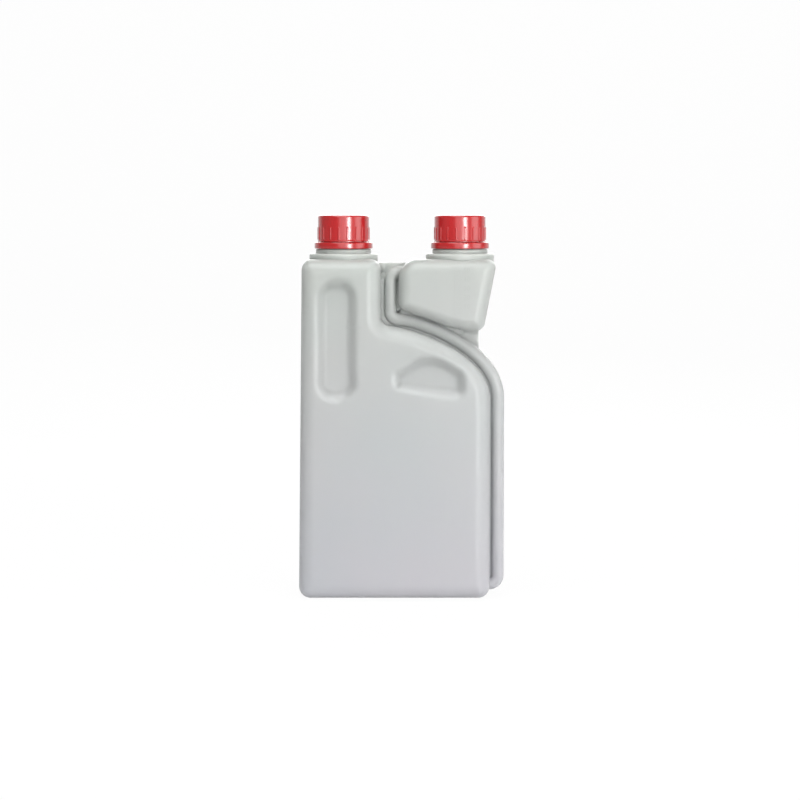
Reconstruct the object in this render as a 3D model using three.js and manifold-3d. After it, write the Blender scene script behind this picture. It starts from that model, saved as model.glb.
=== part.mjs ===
// A squeeze dosing bottle with two necks: a blown body whose reservoir feeds a small dosing chamber
// through a side tube, and two screw caps with their liners and tamper rings.
// Millimetres, +Z up. The front faces -Y, the reservoir's neck is on the left (-X), the chamber's on
// the right (+X). The origin is under the middle of the bottle, on the surface that it stands on.

import * as THREE from "three";
import { mergeVertices } from "three/addons/utils/BufferGeometryUtils.js";
import Module from "manifold-3d";

const wasm = await Module();
wasm.setup();

// Driving dimensions of the blown body
const overallWidth = 125.4; // base of the left side to the outside of the side tube
const bodyHeight = 206.4; // base to the top of the column and of the chamber
const bodyDepth = 58; // front face to back face of the reservoir
const wall = 1.2; // wall of the blown body
const sideLean = 2.1; // how far the left side leans in from base to top
const columnWidth = 47.8; // the tall part of the reservoir, under its neck
const baseCorner = 7; // radius of the base's corners, seen from the front
const columnCorner = 6.5; // radius of the column's top corners
const edgeWidth = 6; // rounding of the long edges, across the front
const edgeDepth = 9; // the same rounding, from front to back
const sideHeight = 122; // base to where the right side bends into the shoulder
const shoulderHeight = 165.6; // base to where the shoulder meets the column
const shoulderBulge = 21; // length of the shoulder curve's upright handle
const shoulderRun = 28.5; // length of the shoulder curve's flat handle
const shoulderDrop = 4.6; // how far that flat handle falls
const columnFillet = 6.5; // radius between the shoulder and the column
const baseRecess = 2; // depth of the push-up under the base
const standWidth = 6; // flat rim that the bottle stands on, round the push-up

// Driving dimensions of the side tube and of the thin webs beside it
const tubeWidth = 7.8;
const tubeDepth = 28;
const tubeWall = 1;
const tubeCorner = 3.6; // radius of the corners of the tube's section
const tubeBend = 5.2; // radius of the tube's tight bends, at its middle
const tubeFoot = 7.6; // base to the middle of the tube where it leaves the reservoir
const tubeHead = 8.6; // the same, down from the chamber's top to where it enters
const groove = 1.2; // gap between the tube and the hollows beside it
const webThickness = 2.4;
const webStrip = 2; // web between the column and the tube
const webTop = 2.4; // web's top edge, down from the column's top
const webLip = 16; // height of the web's free edge, right of the tube

// Driving dimensions of the dosing chamber
const chamberWidth = 60; // at its top
const chamberDepth = 52;
const chamberHeight = 43.2;
const chamberCorner = 5.2; // radius of the corners at its right
const chamberTopCorner = 12; // radius of its top left corner
const chamberEdge = 5; // rounding of its long edges, across the front
const chamberLean = 8.4; // how far its right side leans in from top to bottom
const chamberToe = 10.4; // flat part of its floor

// Driving dimensions of the grips, which are alike on the front and on the back
const gripDepth = 6;
const gripSlope = 5; // width of a grip's rounded side wall
const thumbGripWidth = 26;
const thumbGripHeight = 77.5;
const thumbGripBottom = 119.3;
const thumbGripInset = 8; // from the column's left side
const thumbGripCorner = 11.5;
const palmGripWidth = 47.5;
const palmGripInset = 12.4; // from the right side
const palmGripBottom = 118.6; // lower right corner
const palmGripTilt = 8.4; // rise of its lower edge towards the left
const palmGripRight = 19; // height of its right end
const palmGripLeft = 12.4; // height of its left end
const palmGripPeak = 32.5; // height of its highest point, under the shoulder
const palmGripPeakInset = 25.5; // from its right end to that point
const palmGripPeakRadius = 24;

// Driving dimensions of the necks, which are alike
const collarRadius = 20.9;
const collarHeight = 3.2;
const collarSkirt = 5; // how deep the collar reaches into the body
const collarMargin = 1.5; // from the chamber's right side to the collar
const neckShift = 1.2; // reservoir neck's offset from the middle of its column
const neckBaseHeight = 2.8;
const neckWall = 1.8;
const neckRadius = 12.6; // at the root of the thread
const threadDepth = 1.1;
const finishHeight = 17.3; // neck base to rim
const beadHeight = 1.6;
const beadDepth = 2.3;

// Driving dimensions of the closures
const gap = 0.3; // between faces that seat on each other
const capWall = 1.6;
const capTopWall = 1.5;
const capFillet = 0.9;
const linerThickness = 1.2;
const ringHeight = 3.9;
const ringProud = 2.15; // how far the tamper ring stands out from the cap
const ringOverhang = 0.85; // how far it stands out from the neck's base
const ringLip = 1; // height of its inner lip, under the neck's bead
const ribCount = 18;
const ribWidth = 1.2;
const ribProud = 0.35;
const ribHeight = 8.4;
const ribFoot = 0.8; // cap's lower edge to the foot of a rib

// Places worked out from the dimensions
const baseLeftX = -overallWidth / 2;
const columnLeftX = baseLeftX + sideLean;
const columnRightX = columnLeftX + columnWidth;
const sideX = overallWidth / 2 - tubeWidth - groove;
const tubeX = overallWidth / 2 - tubeWidth / 2;
const riserX = columnRightX + webStrip + tubeWidth / 2;
const chamberLeftX = riserX + tubeWidth / 2 + groove;
const chamberRightX = chamberLeftX + chamberWidth;
const chamberFloorZ = bodyHeight - chamberHeight;
const chamberToeX = chamberRightX - chamberLean;
const reservoirNeckX = columnLeftX + columnWidth / 2 + neckShift;
const chamberNeckX = chamberRightX - collarMargin - collarRadius;
const collarTopZ = bodyHeight + collarHeight;
const neckBaseTopZ = collarTopZ + neckBaseHeight;
const rimZ = neckBaseTopZ + finishHeight;
const capBore = neckRadius + threadDepth + gap;
const capRadius = capBore + capWall;
const ringRadius = capRadius + ringProud;
const neckBaseRadius = ringRadius - ringOverhang;
const ringBottomZ = neckBaseTopZ + gap;
const ringTopZ = ringBottomZ + ringHeight;
const beadRadius = neckRadius + beadDepth;
const beadBottomZ = ringBottomZ + ringLip + gap;
const linerBottomZ = rimZ + gap;
const capCeilingZ = linerBottomZ + linerThickness + gap;
const capTopZ = capCeilingZ + capTopWall;
const capBottomZ = ringTopZ + gap;

// Fineness of the curves
const cornerSteps = 5; // facets in a quarter turn of an outline
const bendSteps = 4; // the same, in the tube's bends
const sectionSteps = 2; // the same, in the tube's section
const edgeSteps = 3; // facets across a rounded edge
const turnSteps = 32; // facets round a neck or a cap
const shoulderSteps = 11;

const bottleMaterial = new THREE.MeshStandardMaterial({
  color: 0xc6c9c6,
  roughness: 0.45,
  metalness: 0,
});
const capMaterial = new THREE.MeshStandardMaterial({
  color: 0xc22a2c,
  roughness: 0.28,
  metalness: 0,
});
const linerMaterial = new THREE.MeshStandardMaterial({
  color: 0xe9e8e2,
  roughness: 0.8,
  metalness: 0,
});

// A closed geometry as a solid that can be joined and cut.
function solidOf(geometry) {
  const bare = geometry.clone();
  bare.deleteAttribute("normal");
  bare.deleteAttribute("uv");
  const merged = mergeVertices(bare, 1e-4);
  const corners = merged.index.array;
  const kept = [];
  for (let i = 0; i < corners.length; i += 3) {
    const [a, b, c] = corners.subarray(i, i + 3);
    if (a !== b && b !== c && c !== a) kept.push(a, b, c);
  }
  const mesh = new wasm.Mesh({
    numProp: 3,
    vertProperties: merged.attributes.position.array,
    triVerts: new Uint32Array(kept),
  });
  return new wasm.Manifold(mesh);
}

function joined(solids) {
  return solids.reduce((whole, next) => whole.add(next));
}

function meshOf(name, solid, material) {
  const data = solid.getMesh();
  const geometry = new THREE.BufferGeometry();
  geometry.setAttribute("position", new THREE.BufferAttribute(data.vertProperties, 3));
  geometry.setIndex(new THREE.BufferAttribute(data.triVerts, 1));
  geometry.computeVertexNormals();
  const mesh = new THREE.Mesh(geometry, material);
  mesh.name = name;
  return mesh;
}

// Points along a run of corners, each [x, z, radius]: straight between them, an arc at each one that
// has a radius, with so many facets in a quarter turn. A closed run rounds its first corner too.
function roundedPoints(corners, quarterSteps, closed) {
  const points = [];
  corners.forEach(([x, z, radius = 0], i) => {
    const here = new THREE.Vector2(x, z);
    const before = corners[(i + corners.length - 1) % corners.length];
    const after = corners[(i + 1) % corners.length];
    const atEnd = !closed && (i === 0 || i === corners.length - 1);
    if (!radius || atEnd) {
      points.push(here);
      return;
    }
    const back = new THREE.Vector2(before[0], before[1]).sub(here).normalize();
    const ahead = new THREE.Vector2(after[0], after[1]).sub(here).normalize();
    const half = Math.acos(THREE.MathUtils.clamp(back.dot(ahead), -1, 1)) / 2;
    const centre = back
      .clone()
      .add(ahead)
      .setLength(radius / Math.sin(half))
      .add(here);
    const from = back.multiplyScalar(radius / Math.tan(half)).add(here).sub(centre);
    const to = ahead.multiplyScalar(radius / Math.tan(half)).add(here).sub(centre);
    let sweep = to.angle() - from.angle();
    if (sweep > Math.PI) sweep -= 2 * Math.PI;
    if (sweep < -Math.PI) sweep += 2 * Math.PI;
    const steps = Math.max(1, Math.round((Math.abs(sweep) / (Math.PI / 2)) * quarterSteps));
    for (let s = 0; s <= steps; s += 1) {
      const angle = from.angle() + (sweep * s) / steps;
      points.push(
        new THREE.Vector2(Math.cos(angle), Math.sin(angle)).multiplyScalar(radius).add(centre),
      );
    }
  });
  return points;
}

// A slab with rounded long edges, from its outline as seen from the front. A thinner one, inset all
// over by a wall, is the hollow that goes inside it.
function slab(outline, depth, roundWidth, roundDepth, inset) {
  const flat = depth - 2 * roundDepth;
  const geometry = new THREE.ExtrudeGeometry(new THREE.Shape(outline), {
    depth: flat,
    bevelThickness: roundDepth - inset,
    bevelSize: roundWidth - inset,
    bevelOffset: -roundWidth,
    bevelSegments: edgeSteps,
  });
  geometry.translate(0, 0, -flat / 2);
  geometry.rotateX(Math.PI / 2);
  return solidOf(geometry);
}

function turned(profile, x) {
  const geometry = new THREE.LatheGeometry(
    profile.map(([r, z]) => new THREE.Vector2(r, z)),
    turnSteps,
  );
  geometry.rotateX(Math.PI / 2);
  geometry.translate(x, 0, 0);
  return solidOf(geometry);
}

// The shoulder's outline, from the right side up to the column.
const shoulder = new THREE.CubicBezierCurve(
  new THREE.Vector2(sideX, sideHeight),
  new THREE.Vector2(sideX, sideHeight + shoulderBulge),
  new THREE.Vector2(
    columnRightX + columnFillet + shoulderRun,
    shoulderHeight - shoulderDrop,
  ),
  new THREE.Vector2(columnRightX + columnFillet, shoulderHeight),
);

// Points that run beside the shoulder, at a distance outside it.
function besideShoulder(distance, from, to, count) {
  const points = [];
  for (let i = 0; i <= count; i += 1) {
    const t = from + ((to - from) * i) / count;
    const along = shoulder.getTangent(t);
    const point = shoulder.getPoint(t);
    points.push([point.x + along.y * distance, point.y - along.x * distance]);
  }
  return points;
}

// Outline of the reservoir: base, right side, shoulder, column.
const reservoirOutline = roundedPoints(
  [
    [baseLeftX, 0, baseCorner],
    [sideX, 0, baseCorner],
    ...besideShoulder(0, 0, 0.97, shoulderSteps),
    [columnRightX, shoulderHeight + 1, columnFillet],
    [columnRightX, bodyHeight, columnCorner],
    [columnLeftX, bodyHeight, columnCorner],
  ],
  cornerSteps,
  true,
);

// Outline of the chamber: its floor runs beside the tube, its right side leans.
const chamberOutline = roundedPoints(
  [
    [chamberLeftX, bodyHeight, chamberTopCorner],
    [chamberLeftX, besideShoulder(tubeWidth + 2 * groove, 0.93, 0.93, 1)[0][1] + 2.4, chamberCorner],
    ...besideShoulder(tubeWidth + 2 * groove, 0.86, 0.66, 3),
    [chamberToeX - chamberToe, chamberFloorZ, chamberCorner],
    [chamberToeX, chamberFloorZ, chamberCorner],
    [chamberRightX, bodyHeight, chamberCorner],
  ],
  cornerSteps,
  true,
);

// Middle line of the tube: out of the reservoir's foot, up the side, over the shoulder, up beside the
// column and into the chamber.
const tubeEntryZ = bodyHeight - tubeHead;
const overShoulder = besideShoulder(groove + tubeWidth / 2, 0, 0.9, shoulderSteps);
const tubeLine = roundedPoints(
  [
    [sideX - 2 * wall - tubeBend, tubeFoot],
    [tubeX, tubeFoot, tubeBend],
    ...overShoulder,
    [riserX, overShoulder.at(-1)[1] + 1.2, tubeBend],
    [riserX, tubeEntryZ, tubeBend],
    [chamberLeftX + chamberTopCorner, tubeEntryZ],
  ],
  bendSteps,
  false,
);

// A path through given stations, which a section is carried along with one ring at each.
class StationPath extends THREE.Curve {
  constructor(points) {
    super();
    this.points = points;
  }

  getPoint(t) {
    const place = t * (this.points.length - 1);
    const i = Math.min(Math.floor(place), this.points.length - 2);
    return this.points[i].clone().lerp(this.points[i + 1], place - i);
  }

  getPointAt(t) {
    return this.getPoint(t);
  }

  getTangentAt(t) {
    const i = Math.round(t * (this.points.length - 1));
    const here = this.points[i];
    const back = here.clone().sub(this.points[Math.max(i - 1, 0)]).normalize();
    const ahead = this.points[Math.min(i + 1, this.points.length - 1)].clone().sub(here).normalize();
    return back.add(ahead).normalize();
  }
}

function tube(inset) {
  const halfDepth = tubeDepth / 2 - inset;
  const halfWidth = tubeWidth / 2 - inset;
  const radius = tubeCorner - inset;
  const section = roundedPoints(
    [
      [-halfDepth, -halfWidth, radius],
      [halfDepth, -halfWidth, radius],
      [halfDepth, halfWidth, radius],
      [-halfDepth, halfWidth, radius],
    ],
    sectionSteps,
    true,
  );
  const stations = tubeLine.map((point) => new THREE.Vector3(point.x, 0, point.y));
  return solidOf(
    new THREE.ExtrudeGeometry(new THREE.Shape(section), {
      steps: stations.length - 1,
      extrudePath: new StationPath(stations),
      bevelEnabled: false,
    }),
  );
}

// The thin web that joins column, tube and chamber. What lies inside a hollow is cut away later.
function web() {
  const lipTop = chamberFloorZ + chamberEdge / 2;
  const lipX = chamberToeX - chamberCorner / 2;
  const outline = [
    [columnRightX - columnCorner, bodyHeight - webTop],
    [chamberLeftX + chamberTopCorner, bodyHeight - webTop],
    [lipX, lipTop],
    [lipX, lipTop - webLip],
    [tubeX, sideHeight],
    [tubeX, tubeFoot],
    [sideX - baseCorner, tubeFoot],
    [sideX - baseCorner, sideHeight],
    [columnRightX - columnCorner, shoulderHeight - columnCorner],
  ];
  return slab(
    outline.reverse().map(([x, z]) => new THREE.Vector2(x, z)),
    webThickness,
    0,
    0,
    0,
  );
}

// The solid that a grip presses into the body, at the front and at the back.
function gripPress(corners, grow) {
  const outline = roundedPoints(corners, cornerSteps, true);
  const flat = gripSlope;
  const geometry = new THREE.ExtrudeGeometry(new THREE.Shape(outline), {
    depth: flat,
    bevelThickness: gripDepth + grow,
    bevelSize: gripSlope + grow,
    bevelOffset: -gripSlope,
    bevelSegments: edgeSteps,
  });
  geometry.translate(0, 0, -flat / 2);
  geometry.rotateX(Math.PI / 2);
  const press = solidOf(geometry);
  const out = bodyDepth / 2 + flat / 2;
  return press.translate([0, -out, 0]).add(press.translate([0, out, 0]));
}

function gripPresses(grow) {
  const left = columnLeftX + thumbGripInset;
  const right = left + thumbGripWidth;
  const thumb = [
    [left, thumbGripBottom, thumbGripCorner],
    [right, thumbGripBottom, thumbGripCorner],
    [right, thumbGripBottom + thumbGripHeight, thumbGripCorner],
    [left, thumbGripBottom + thumbGripHeight, thumbGripCorner],
  ];
  const palmRight = sideX - palmGripInset;
  const palmLeft = palmRight - palmGripWidth;
  const palm = [
    [palmLeft, palmGripBottom + palmGripTilt, gripSlope + 1],
    [palmRight, palmGripBottom, gripSlope + 0.2],
    [palmRight, palmGripBottom + palmGripRight, gripSlope + 3],
    [palmRight - palmGripPeakInset, palmGripBottom + palmGripPeak, palmGripPeakRadius],
    [palmLeft, palmGripBottom + palmGripTilt + palmGripLeft, gripSlope + 1],
  ];
  return gripPress(thumb, grow).add(gripPress(palm, grow));
}

// The push-up under the base, or the part of the hollow that it takes up.
function basePress(grow) {
  const halfDepth = bodyDepth / 2 - edgeDepth - standWidth + grow;
  const left = baseLeftX + baseCorner + standWidth - grow;
  const right = sideX - baseCorner - standWidth + grow;
  const outline = roundedPoints(
    [
      [left, -halfDepth, standWidth],
      [right, -halfDepth, standWidth],
      [right, halfDepth, standWidth],
      [left, halfDepth, standWidth],
    ],
    cornerSteps,
    true,
  );
  const geometry = new THREE.ExtrudeGeometry(new THREE.Shape(outline), {
    depth: baseRecess,
    bevelThickness: baseRecess,
    bevelSize: baseRecess,
    bevelOffset: -baseRecess,
    bevelSegments: 1,
  });
  geometry.translate(0, 0, grow - baseRecess);
  return solidOf(geometry);
}

function neckForm(x) {
  return turned(
    [
      [0, bodyHeight - collarSkirt],
      [collarRadius, bodyHeight - collarSkirt],
      [collarRadius, collarTopZ - capFillet],
      [collarRadius - capFillet, collarTopZ],
      [neckBaseRadius, collarTopZ],
      [neckBaseRadius, neckBaseTopZ],
      [neckRadius, neckBaseTopZ],
      [neckRadius, beadBottomZ],
      [beadRadius, beadBottomZ],
      [beadRadius, beadBottomZ + beadHeight / 2],
      [neckRadius, beadBottomZ + beadHeight],
      [neckRadius, rimZ - capFillet],
      [neckRadius - capFillet / 2, rimZ],
      [0, rimZ],
    ],
    x,
  );
}

function neckHollow(x) {
  const bore = neckRadius - neckWall;
  return turned(
    [
      [0, bodyHeight - collarSkirt],
      [collarRadius - neckWall, bodyHeight - collarSkirt],
      [collarRadius - neckWall, collarTopZ - neckWall],
      [neckBaseRadius - neckWall, collarTopZ - neckWall],
      [neckBaseRadius - neckWall, neckBaseTopZ - neckWall],
      [bore, neckBaseTopZ - neckWall / 2],
      [bore, rimZ + gap],
      [0, rimZ + gap],
    ],
    x,
  );
}

function bottleBody() {
  const reservoir = slab(reservoirOutline, bodyDepth, edgeWidth, edgeDepth, 0);
  const chamber = slab(chamberOutline, chamberDepth, chamberEdge, edgeDepth, 0);
  const form = joined([
    reservoir.subtract(gripPresses(0)).subtract(basePress(0)),
    chamber,
    web(),
    tube(0),
    neckForm(reservoirNeckX),
    neckForm(chamberNeckX),
  ]);
  const reservoirHollow = slab(reservoirOutline, bodyDepth, edgeWidth, edgeDepth, wall)
    .subtract(gripPresses(wall))
    .subtract(basePress(wall));
  const hollow = joined([
    reservoirHollow,
    slab(chamberOutline, chamberDepth, chamberEdge, edgeDepth, wall),
    tube(tubeWall),
    neckHollow(reservoirNeckX),
    neckHollow(chamberNeckX),
  ]);
  return form.subtract(hollow);
}

// A cap with a ribbed skirt, open below.
function cap(x) {
  const shell = turned(
    [
      [0, capCeilingZ],
      [capBore, capCeilingZ],
      [capBore, capBottomZ],
      [capRadius, capBottomZ],
      [capRadius, capTopZ - capFillet],
      [capRadius - capFillet * 0.3, capTopZ - capFillet * 0.3],
      [capRadius - capFillet, capTopZ],
      [0, capTopZ],
    ],
    x,
  );
  const ribs = [];
  for (let i = 0; i < ribCount; i += 1) {
    const rib = new THREE.BoxGeometry(capWall, ribWidth, ribHeight);
    rib.translate(
      capRadius + ribProud - capWall / 2,
      0,
      capBottomZ + ribFoot + ribHeight / 2,
    );
    rib.rotateZ((2 * Math.PI * (i + 0.5)) / ribCount);
    rib.translate(x, 0, 0);
    ribs.push(solidOf(rib));
  }
  return joined([shell, ...ribs]);
}

// The foamed disc that lies in the cap and seals the rim.
function liner(x) {
  const radius = capBore - gap;
  return turned(
    [
      [0, linerBottomZ],
      [radius, linerBottomZ],
      [radius, linerBottomZ + linerThickness],
      [0, linerBottomZ + linerThickness],
    ],
    x,
  );
}

// The ring that stays on the neck when the cap is first opened, held under the bead by its lip.
function tamperRing(x) {
  const lipRadius = (neckRadius + beadRadius) / 2;
  return turned(
    [
      [lipRadius, ringBottomZ],
      [ringRadius - capFillet / 2, ringBottomZ],
      [ringRadius, ringBottomZ + capFillet / 2],
      [ringRadius, ringTopZ - capFillet],
      [ringRadius - capFillet, ringTopZ],
      [beadRadius + gap, ringTopZ],
      [beadRadius + gap, ringBottomZ + ringLip],
      [lipRadius, ringBottomZ + ringLip],
      [lipRadius, ringBottomZ],
    ],
    x,
  );
}

const group = new THREE.Group();
group.add(meshOf("bottle_body", bottleBody(), bottleMaterial));
const closures = [
  ["reservoir", reservoirNeckX],
  ["dosing", chamberNeckX],
];
for (const [place, x] of closures) {
  const closure = new THREE.Group();
  closure.add(meshOf(place + "_cap", cap(x), capMaterial));
  closure.add(meshOf(place + "_cap_liner", liner(x), linerMaterial));
  closure.add(meshOf(place + "_tamper_ring", tamperRing(x), capMaterial));
  group.add(closure);
}

export default group;
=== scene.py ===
# A squeeze dosing bottle with two necks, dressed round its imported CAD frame.
# Shapes are worked out in millimetres, +Z up, front towards -Y, and put into the meshes in metres.
import math
import bpy
import numpy as np
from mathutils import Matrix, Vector


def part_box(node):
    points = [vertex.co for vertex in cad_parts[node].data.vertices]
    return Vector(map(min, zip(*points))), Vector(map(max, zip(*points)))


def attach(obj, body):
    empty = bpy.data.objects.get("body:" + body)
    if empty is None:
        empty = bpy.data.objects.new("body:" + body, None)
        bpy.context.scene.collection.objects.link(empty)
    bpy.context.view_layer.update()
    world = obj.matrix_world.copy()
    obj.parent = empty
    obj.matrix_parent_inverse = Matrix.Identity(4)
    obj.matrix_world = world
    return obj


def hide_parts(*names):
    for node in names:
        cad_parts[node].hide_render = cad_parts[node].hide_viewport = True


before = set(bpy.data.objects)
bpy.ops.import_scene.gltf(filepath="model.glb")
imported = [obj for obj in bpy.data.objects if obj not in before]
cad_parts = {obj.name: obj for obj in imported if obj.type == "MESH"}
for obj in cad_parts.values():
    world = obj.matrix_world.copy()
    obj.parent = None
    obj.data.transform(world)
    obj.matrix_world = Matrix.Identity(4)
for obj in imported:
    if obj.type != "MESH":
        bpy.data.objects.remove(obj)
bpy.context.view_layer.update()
print("frame loaded")

mm = 0.001


def boxOf(node):
    low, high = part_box(node)
    return np.array(low) / mm, np.array(high) / mm


# Places read from the frame
bodyLow, bodyHigh = boxOf("bottle_body")
closures = {}
for place in ("reservoir", "dosing"):
    capLow, capHigh = boxOf(place + "_cap")
    ringLow, ringHigh = boxOf(place + "_tamper_ring")
    linerLow, linerHigh = boxOf(place + "_cap_liner")
    closures[place] = {
        "x": (ringLow[0] + ringHigh[0]) / 2,
        "capBottom": capLow[2], "capTop": capHigh[2],
        "ringBottom": ringLow[2], "ringTop": ringHigh[2], "ringRadius": (ringHigh[0] - ringLow[0]) / 2,
        "linerBottom": linerLow[2], "linerTop": linerHigh[2],
    }
rimZ = bodyHigh[2]

# The blown body: a change here is a change to the moulding. "shoulderEnd" and the chamber's "floorFrom",
# "floorTo" and "cornerAt" are places along the shoulder curve, from 0 at the side to 1 at the column.
body = {
    "wall": 1.2, "top": 206.4, "sideLean": 2.1, "columnWidth": 47.8,
    "baseCorner": 7.0, "columnCorner": 6.5, "columnFillet": 6.5,
    "edgeAcross": 9.0, "edgeDeep": 9.0, "crown": 0.35,
    "sideTop": 122.0, "shoulderTop": 165.6, "bulge": 21.0, "run": 28.5, "drop": 4.6,
    "shoulderEnd": 0.97, "pushUp": 2.2, "standWidth": 6.0, "baseSlope": 4.0,
    "seamHeight": 0.22, "seamWidth": 0.45,
}
tube = {"width": 7.8, "depth": 28.0, "corner": 3.6, "wall": 1.0, "bend": 5.2, "foot": 7.6, "head": 8.6,
        "groove": 1.2, "shoulderEnd": 0.9, "riserRise": 1.2}
web = {
    "thickness": 2.4, "strip": 2.0, "top": 2.4, "lip": 16.0, "lipRise": 2.5, "tuck": 6.0, "sideTuck": 7.0,
    "cove": 4.0, "gap": 2.4, "fill": 9.5, "fillSlope": 3.0, "fadeGap": 3.0, "fadeRun": 9.0, "edge": 3.0,
}
chamber = {
    "width": 60.0, "depth": 52.0, "height": 43.2, "corner": 5.2, "topCorner": 12.0,
    "edgeAcross": 7.0, "edgeDeep": 9.0, "lean": 8.4, "toe": 10.4, "crown": 0.3,
    "floorFrom": 0.86, "floorTo": 0.66, "cornerAt": 0.93, "cornerRise": 2.4,
}
neck = {
    "collarRadius": 20.9, "collarHeight": 3.2, "skirt": 5.0, "fillet": 1.0, "baseRadius": 16.9,
    "baseHeight": 2.8, "radius": 12.6, "wall": 1.8, "steps": 112, "hollowSteps": 72,
    "beadLift": 1.3, "beadDepth": 2.3, "beadBand": 0.9, "beadHeight": 1.6,
    "pitch": 4.233, "threadDepth": 1.1, "threadWidth": 2.0, "threadFoot": 11.2, "threadHead": 1.6,
    "threadFade": 0.9,
}

# Grids of the moulded faces: columns, rows and steps across the thickness
grids = {"reservoir": (104, 150, 21), "chamber": (60, 60, 9), "web": (120, 240, 2),
         "reservoirInside": (56, 80, 7), "chamberInside": (34, 36, 5)}

halfDepth = bodyHigh[1]
baseLeft = bodyLow[0]
columnLeft = baseLeft + body["sideLean"]
columnRight = columnLeft + body["columnWidth"]
sideX = bodyHigh[0] - tube["width"] - tube["groove"]
tubeX = bodyHigh[0] - tube["width"] / 2
riserX = columnRight + web["strip"] + tube["width"] / 2
chamberLeft = riserX + tube["width"] / 2 + tube["groove"]
chamberRight = chamberLeft + chamber["width"]
chamberFloor = body["top"] - chamber["height"]
toeX = chamberRight - chamber["lean"]
collarTop = body["top"] + neck["collarHeight"]
neckBaseTop = collarTop + neck["baseHeight"]


# Rounded run of corners: straight lines, and at each corner (x, z, radius) an arc tangent to both
# sides, centre on their bisector at radius / sin(half angle).
def roundedRun(corners, quarterSteps=12, closed=True):
    points = []
    count = len(corners)
    for i, corner in enumerate(corners):
        here = np.array(corner[:2], float)
        radius = corner[2] if len(corner) > 2 else 0
        if not radius or (not closed and i in (0, count - 1)):
            points.append(here[None])
            continue
        back = np.array(corners[i - 1][:2], float) - here
        ahead = np.array(corners[(i + 1) % count][:2], float) - here
        back /= np.linalg.norm(back)
        ahead /= np.linalg.norm(ahead)
        half = math.acos(np.clip(back @ ahead, -1, 1)) / 2
        middle = back + ahead
        centre = here + middle / np.linalg.norm(middle) * radius / math.sin(half)
        reach = radius / math.tan(half)
        start, end = here + back * reach - centre, here + ahead * reach - centre
        first = math.atan2(start[1], start[0])
        turn = (math.atan2(end[1], end[0]) - first + math.pi) % (2 * math.pi) - math.pi
        steps = max(2, round(abs(turn) / (math.pi / 2) * quarterSteps))
        angle = first + turn * np.linspace(0, 1, steps + 1)
        points.append(centre + radius * np.stack([np.cos(angle), np.sin(angle)], 1))
    return np.concatenate(points)


# Shoulder curve: cubic Bezier from the right side (t = 0) up to the column (t = 1), moved out along
# its normal by a distance.
def besideShoulder(distance, t):
    t = np.asarray(t, float)[:, None]
    ends = np.array([
        [sideX, body["sideTop"]],
        [sideX, body["sideTop"] + body["bulge"]],
        [columnRight + body["columnFillet"] + body["run"], body["shoulderTop"] - body["drop"]],
        [columnRight + body["columnFillet"], body["shoulderTop"]],
    ])
    s = 1 - t
    point = s**3 * ends[0] + 3 * s**2 * t * ends[1] + 3 * s * t**2 * ends[2] + t**3 * ends[3]
    along = s**2 * (ends[1] - ends[0]) + 2 * s * t * (ends[2] - ends[1]) + t**2 * (ends[3] - ends[2])
    along /= np.linalg.norm(along, axis=1, keepdims=True)
    return point + distance * np.stack([along[:, 1], -along[:, 0]], 1)


# Distance from points to a run of straight pieces: to the nearest point of the nearest piece.
def distanceTo(points, run):
    a, b = run[:-1], run[1:]
    side = b - a
    length = np.maximum((side**2).sum(1), 1e-12)
    best = np.full(len(points), 1e9)
    for first in range(0, len(points), 20000):
        part = points[first:first + 20000, None, :]
        share = np.clip(((part - a) * side).sum(2) / length, 0, 1)
        gap = part - (a + share[..., None] * side)
        best[first:first + 20000] = np.sqrt((gap**2).sum(2)).min(1)
    return best


# Inside test by counting the crossings of a level line to the right of each point.
def insideOf(points, outline):
    a, b = outline, np.roll(outline, -1, 0)
    x, z = points[:, 0, None], points[:, 1, None]
    spans = (a[:, 1] > z) != (b[:, 1] > z)
    rise = np.where(np.abs(b[:, 1] - a[:, 1]) < 1e-12, 1e-12, b[:, 1] - a[:, 1])
    crossing = a[:, 0] + (z - a[:, 1]) / rise * (b[:, 0] - a[:, 0])
    return ((spans & (x < crossing)).sum(1) % 2) == 1


def closedRun(outline):
    return np.concatenate([outline, outline[:1]])


# Outline moved inwards by a distance along the mean of its neighbouring sides' normals.
def insetOutline(outline, distance):
    ahead = np.roll(outline, -1, 0) - outline
    ahead /= np.maximum(np.linalg.norm(ahead, axis=1, keepdims=True), 1e-9)
    back = np.roll(ahead, 1, 0)
    normal = np.stack([-(ahead + back)[:, 1], (ahead + back)[:, 0]], 1)
    normal /= np.linalg.norm(normal, axis=1, keepdims=True)
    lean = np.maximum((normal * np.stack([-ahead[:, 1], ahead[:, 0]], 1)).sum(1, keepdims=True), 0.5)
    return outline + normal * distance / lean


# Smooth step: 6 t^5 - 15 t^4 + 10 t^3, with t held between 0 and 1.
def smoothStep(t):
    t = np.clip(t, 0, 1)
    return t * t * t * (t * (6 * t - 15) + 10)


def addObject(name, data):
    thing = bpy.data.objects.new(name, data)
    bpy.context.scene.collection.objects.link(thing)
    return thing


def meshPiece(name, vertices, faces):
    mesh = bpy.data.meshes.new(name)
    mesh.from_pydata((vertices * mm).tolist(), [], faces)
    mesh.update()
    return addObject(name, mesh)


def pointsOf(mesh):
    points = np.zeros(len(mesh.vertices) * 3)
    mesh.vertices.foreach_get("co", points)
    return points.reshape(-1, 3)


# Faces of a grid of vertex numbers, turned over if asked.
def gridFaces(numbers, flip=False):
    a, b, c, d = numbers[:-1, :-1], numbers[:-1, 1:], numbers[1:, 1:], numbers[1:, :-1]
    order = (d, c, b, a) if flip else (a, b, c, d)
    return np.stack(order, -1).reshape(-1, 4).tolist()


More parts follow.
